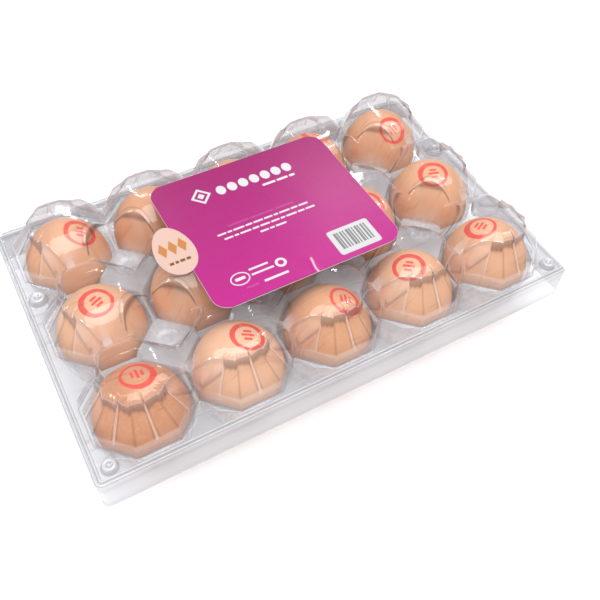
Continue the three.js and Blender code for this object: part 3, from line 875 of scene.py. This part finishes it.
def card_rows():
    """Rows of the card's grid of points, with a narrow row and column along its cut edge."""
    half_y, corner = CARD["depth"] / 2, CARD["corner"]
    bend = [half_y - corner + corner * math.sin(RIGHT * k / CARD_BEND_STEPS) for k in range(CARD_BEND_STEPS)]
    bend += [half_y - CUT_EDGE, half_y]
    straight = list(np.linspace(-half_y + corner, half_y - corner, CARD_ROWS)[1:-1])
    rows = []
    for y in [-y for y in reversed(bend)] + straight + bend:
        into = max(0.0, abs(y) - (half_y - corner))
        half_x = CARD["width"] / 2 - corner + math.sqrt(max(corner ** 2 - into ** 2, 0.0))
        inner = np.linspace(-half_x + CUT_EDGE, half_x - CUT_EDGE, CARD_COLUMNS - 2)
        rows.append([(CARD["x"] + x, CARD["y"] + y) for x in (-half_x, *inner, half_x)])
    return rows


def tab_rings():
    """Rings of the tab's face, from its outline inwards."""
    rings = []
    for shrink in (0.0, CUT_EDGE, 2.5, 5.0, 7.0, 8.6):
        ring = []
        for k in range(TAB_SIDES):
            angle = 2 * math.pi * k / TAB_SIDES
            up = math.sin(angle)
            across = (TAB_HALF[0] - shrink) * math.cos(angle) * (1 - TAB_TAPER * up)
            ring.append((TAB_AT[0] + across, TAB_AT[1] + (TAB_HALF[1] - shrink) * up))
        rings.append(ring)
    return rings


def card_mesh(bm, printed, tab):
    """Top and bottom grid of the card joined by its cut edge, then the tab as a low second sheet."""
    rows = card_rows()
    grids = []
    for z in (CARD_HIGH, CARD_LOW):
        grids.append([[bm.verts.new((x, y, z + card_lift(x, y))) for x, y in row] for row in rows])
    count, across = len(rows), len(rows[0])
    for j in range(1, count - 1):
        for i in range(1, across - 1):
            grids[0][j][i][printed] = 1.0
    for grid, flip in zip(grids, (False, True)):
        for j in range(count - 1):
            for i in range(across - 1):
                face = [grid[j][i], grid[j][i + 1], grid[j + 1][i + 1], grid[j + 1][i]]
                bm.faces.new(reversed(face) if flip else face)
    border = [(0, i) for i in range(across)] + [(j, across - 1) for j in range(1, count)]
    border += [(count - 1, i) for i in range(across - 2, -1, -1)] + [(j, 0) for j in range(count - 2, 0, -1)]
    for (j0, i0), (j1, i1) in zip(border, border[1:] + border[:1]):
        bm.faces.new((grids[1][j0][i0], grids[1][j1][i1], grids[0][j1][i1], grids[0][j0][i0]))
    rings = [[bm.verts.new((x, y, TAB_HIGH)) for x, y in ring] for ring in tab_rings()]
    wall = [bm.verts.new((x, y, TAB_LOW)) for x, y in tab_rings()[0]]
    for ring in rings + [wall]:
        for vert in ring:
            vert[tab] = 1.0
            vert[printed] = 0.0 if ring is wall or ring is rings[0] else 1.0
    for outer, inner in zip([wall] + rings, rings):
        for k in range(len(outer)):
            j = (k + 1) % len(outer)
            bm.faces.new((outer[k], outer[j], inner[j], inner[k]))
    bm.faces.new(rings[-1])
    bm.faces.new(list(reversed(wall)))


# Softness of the printed shapes' outlines: in millimetres for a box, as a share of the shape for the others
BOX_SOFT, OVAL_SOFT, DIAMOND_SOFT = 0.12, 0.04, 0.06


class Print(Nodes):
    """Masks of plain shapes placed on the card in millimetres."""

    def __init__(self, name):
        super().__init__(name)
        split = self.add("ShaderNodeSeparateXYZ", {0: self.position()})
        self.x = self.math("DIVIDE", split.outputs[0], MM)
        self.y = self.math("DIVIDE", split.outputs[1], MM)

    def box(self, x0, x1, y0, y1, corner=0.0):
        reach = []
        for value, low, high in ((self.x, x0, x1), (self.y, y0, y1)):
            beyond = self.math("SUBTRACT", self.away(value, (low + high) / 2), (high - low) / 2 - corner)
            reach.append(self.math("MAXIMUM", beyond, 0.0))
        return self.ramp(self.hypot(*reach), corner + BOX_SOFT, corner)

    def oval(self, cx, cy, half_x, half_y):
        dx = self.math("DIVIDE", self.math("SUBTRACT", self.x, cx), half_x)
        dy = self.math("DIVIDE", self.math("SUBTRACT", self.y, cy), half_y)
        return self.ramp(self.hypot(dx, dy), 1 + OVAL_SOFT, 1)

    def diamond(self, cx, cy, half_x, half_y):
        dx = self.math("DIVIDE", self.away(self.x, cx), half_x)
        dy = self.math("DIVIDE", self.away(self.y, cy), half_y)
        return self.ramp(self.math("ADD", dx, dy), 1 + DIAMOND_SOFT, 1)

    def most(self, masks):
        total = masks[0]
        for mask in masks[1:]:
            total = self.math("MAXIMUM", total, mask)
        return total

    def without(self, mask, hole):
        return self.math("MULTIPLY", mask, self.math("SUBTRACT", 1.0, hole))

    def dashes(self, x0, x1, y0, height, lengths=(4.4, 2.2, 5.6, 3.4, 4.9), gap=0.8):
        masks, x, turn = [], x0, 0
        while x + lengths[turn % len(lengths)] < x1:
            width = lengths[turn % len(lengths)]
            masks.append(self.box(x, x + width, y0, y0 + height, 0.3))
            x += width + gap
            turn += 1
        return masks


# Colours of the print: its ground far, darker by painted shade, and near, white, faint lines, a painted
# highlight on the crease, fibres, and the paper's edge
GROUND_FAR_SHADED, GROUND_NEAR, WHITE = (0.265, 0.010, 0.11), (0.39, 0.013, 0.192), (0.56, 0.54, 0.56)
FAINT, CREASE_HIGHLIGHT, FIBRE, PAPER = (0.5, 0.2, 0.4), (0.85, 0.50, 0.52), (0.5, 0.15, 0.3), (0.6, 0.5, 0.56)

# Striped field: its colours, its first stripe, their spacing and their widths
FIELD, INK = (0.50, 0.50, 0.50), (0.05, 0.05, 0.05)
STRIPE_START, STRIPE_STEP = 17.0, 1.62
STRIPES = (1.2, 0.7, 0.9, 0.6, 1.2, 0.8, 0.6, 1.1, 0.6, 0.9, 0.7)

# Colours of the tab, its diamonds and its dashes
TAB_GROUND, TAB_ORANGE, TAB_BROWN = (0.56, 0.38, 0.315), (0.44, 0.175, 0.05), (0.17, 0.065, 0.02)


def print_on_card(n, colour):
    """White ovals, dashes, emblem and rings, faint lines, the striped field, and a painted highlight on the
    crease.
    """
    ovals = [n.oval(-16.4 + 6.1 * k, 28.6, 2.4, 3.1) for k in range(7)]
    lines = n.dashes(3.5, 22.0, 21.4, 1.4, (7.0, 6.0, 3.0), 1.0)
    lines += n.dashes(-31, 21, 0.5, 1.0) + n.dashes(-29, 20, -3.0, 1.0) + n.dashes(-12, 2, -6.5, 1.0)
    lines += [n.box(-27.5, -18, -25.2, -24.2), n.box(-27.5, -16.5, -28.4, -27.4)]
    lines += [n.box(-24, -12, -34.4, -33.2)]
    colour = n.mix(n.most(ovals + lines), colour, WHITE)
    faint = n.dashes(-24, 14, 4.0, 1.0, (11.0, 12.5, 10.0)) + n.dashes(-33, -25, -34.2, 0.9, (6.0,))
    colour = n.tint(colour, n.most(faint), 0.2, FAINT)
    emblem = n.without(n.diamond(-27.0, 29.0, 5.2, 5.6), n.diamond(-27.0, 29.0, 3.6, 3.9))
    colour = n.mix(n.math("MAXIMUM", emblem, n.diamond(-27.0, 29.0, 1.9, 2.1)), colour, WHITE)
    badge = n.without(n.oval(-33.2, -27.6, 4.6, 3.7), n.oval(-33.2, -27.6, 4.0, 3.1))
    small = n.without(n.oval(-12.6, -27.4, 2.7, 2.7), n.oval(-12.6, -27.4, 1.4, 1.4))
    colour = n.mix(n.most([badge, n.box(-35.6, -30.8, -28.4, -26.8, 0.4), small]), colour, WHITE)
    colour = n.mix(n.box(14.4, 36.4, -37.2, -21.4, 1.4), colour, FIELD)
    starts = [STRIPE_START + STRIPE_STEP * k for k in range(len(STRIPES))]
    stripes = [n.box(start, start + width, -34.2, -23.6) for start, width in zip(starts, STRIPES)]
    colour = n.tint(colour, n.most(stripes), 0.75, INK)
    # Painted highlight: a pale streak along the small crease at the card's front
    crease_highlight = n.math("MULTIPLY", near_line(n, 0.2, 0.5), n.box(-2, 2, -41.5, -31.5, 0.8))
    return n.tint(colour, crease_highlight, 0.7, CREASE_HIGHLIGHT)


def print_on_tab(n, colour):
    on_tab = n.attribute("tab")
    colour = n.mix(on_tab, colour, TAB_GROUND)
    shapes = n.most([n.diamond(x, 4.0, 2.2, 4.6) for x in (-57.4, -52.6, -47.8)])
    colour = n.tint(colour, shapes, on_tab, TAB_ORANGE)
    dashes = n.most(n.dashes(-57.6, -47.0, -6.0, 1.5, (2.0, 1.5, 2.3), 0.8))
    return n.tint(colour, dashes, on_tab, TAB_BROWN)


def card_material():
    n = Print("printed_card")
    # Painted shade: the ground darkens towards the card's far edge
    ground = n.mix(n.ramp(n.y, 46.0, -42.0, smooth=False), GROUND_FAR_SHADED, GROUND_NEAR)
    colour = print_on_tab(n, print_on_card(n, ground))
    fibre = n.noise(900.0, 3.0, 0.6)
    colour = n.tint(colour, n.ramp(fibre, 0.4, 0.8), 0.035, FIBRE)
    colour = n.mix(n.ramp(n.attribute("printed"), 0.1, 0.5), PAPER, colour)
    ripple = n.math("ADD", n.noise(60.0, 2.0), n.math("MULTIPLY", fibre, 0.05))
    shader = n.add("ShaderNodeBsdfPrincipled", {
        "Base Color": colour, "Roughness": 0.3, "Specular IOR Level": 0.3,
        "Normal": n.bump(ripple, 0.12, 0.002),
    })
    return n.finish(shader.outputs[0])


# Soft upright line at x, which waves a little
def near_line(n, x, half):
    wave = n.math("MULTIPLY", n.math("SINE", n.math("MULTIPLY", n.y, 0.45)), 0.5)
    return n.ramp(n.away(n.math("ADD", n.x, wave), x), half * 1.6, half * 0.4)


def make_label():
    bm = bmesh.new()
    card_mesh(bm, bm.verts.layers.float.new("printed"), bm.verts.layers.float.new("tab"))
    bmesh.ops.scale(bm, vec=(MM, MM, MM), verts=bm.verts)
    mesh = bpy.data.meshes.new("card_label")
    bm.to_mesh(mesh)
    bm.free()
    mesh.materials.append(card_material())
    label = bpy.data.objects.new("card_label", mesh)
    bpy.context.scene.collection.objects.link(label)
    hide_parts("label")
    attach(label, "lid")


make_label()


# Floor: pale, very large, and a little bright of its own
FLOOR_HALF, FLOOR_GLOW = 6000.0, 0.17


def make_floor():
    n = Nodes("pale_floor")
    colour = n.mix(n.noise(30.0, 3.0), (0.93, 0.93, 0.935), (0.95, 0.95, 0.955))
    shader = n.add("ShaderNodeBsdfPrincipled", {
        "Base Color": colour, "Roughness": 0.6, "Emission Color": (1.0, 1.0, 1.0, 1.0),
        "Emission Strength": FLOOR_GLOW,
    })
    corners = [(x * FLOOR_HALF, y * FLOOR_HALF, 0) for x, y in ((-1, -1), (1, -1), (1, 1), (-1, 1))]
    floor = mesh_object("floor", corners, [(0, 1, 2, 3)], n.finish(shader.outputs[0]), smooth=False)


def area_light(name, location, target, size, energy, colour=(1, 1, 1), turn=0.0):
    data = bpy.data.lights.new(name, "AREA")
    data.shape = "RECTANGLE"
    data.size, data.size_y = size
    data.energy = energy
    data.color = colour
    light = bpy.data.objects.new(name, data)
    light.location = location
    aim = (Vector(target) - Vector(location)).to_track_quat("-Z", "Y")
    light.rotation_euler = (aim @ Quaternion((0, 0, 1), turn)).to_euler()
    bpy.context.scene.collection.objects.link(light)


make_floor()

# Lights: place, target and size in metres, watts, colour, and turn about the light's own axis
area_light("key", (0.05, -0.30, 1.30), (0, 0, 0.04), (1.5, 1.2), 20.0, (1.0, 0.985, 0.97))
area_light("spark", (0.47, -0.15, 0.85), (0, 0, 0.04), (0.05, 0.05), 0.25)
area_light("streak", (0.40, 0.53, 0.62), (0, 0, 0.05), (0.05, 0.16), 0.45)
area_light("rod", (0.045, 0.69, 0.68), (-0.084, 0.047, 0.065), (0.16, 0.014), 0.24, turn=math.radians(-20))
area_light("side", (-0.9, 0.1, 0.7), (0, 0, 0.04), (0.3, 0.3), 2.5)
world = bpy.data.worlds.new("studio")
world.use_nodes = True
background = world.node_tree.nodes["Background"]
background.inputs["Color"].default_value = (0.95, 0.97, 1.0, 1.0)
background.inputs["Strength"].default_value = 0.62
bpy.context.scene.world = world
bpy.context.scene.view_settings.view_transform = "Standard"

# Camera at the photograph's place: position in millimetres, yaw, pitch and roll in degrees, sizes in pixels
CAMERA_AT = (-115.0, -223.1, 316.1)
YAW, PITCH, ROLL = (math.radians(v) for v in (29.99, 51.48, 1.33))
FOCAL_PIXELS, IMAGE_PIXELS, SENSOR_WIDTH = 730.9, 600, 36.0
forward = Vector((math.sin(YAW) * math.cos(PITCH), math.cos(YAW) * math.cos(PITCH), -math.sin(PITCH)))
right = Vector((math.cos(YAW), -math.sin(YAW), 0.0))
up = right.cross(forward)
turned_right = right * math.cos(ROLL) + up * math.sin(ROLL)
turned_up = up * math.cos(ROLL) - right * math.sin(ROLL)
camera_data = bpy.data.cameras.new("camera")
camera_data.sensor_width = SENSOR_WIDTH
camera_data.lens = FOCAL_PIXELS / IMAGE_PIXELS * SENSOR_WIDTH
camera_data.clip_start = 0.01
camera = bpy.data.objects.new("camera", camera_data)
bpy.context.scene.collection.objects.link(camera)
basis = Matrix((turned_right, turned_up, -forward)).transposed().to_4x4()
camera.matrix_world = Matrix.Translation(Vector(CAMERA_AT) * MM) @ basis
bpy.context.scene.camera = camera
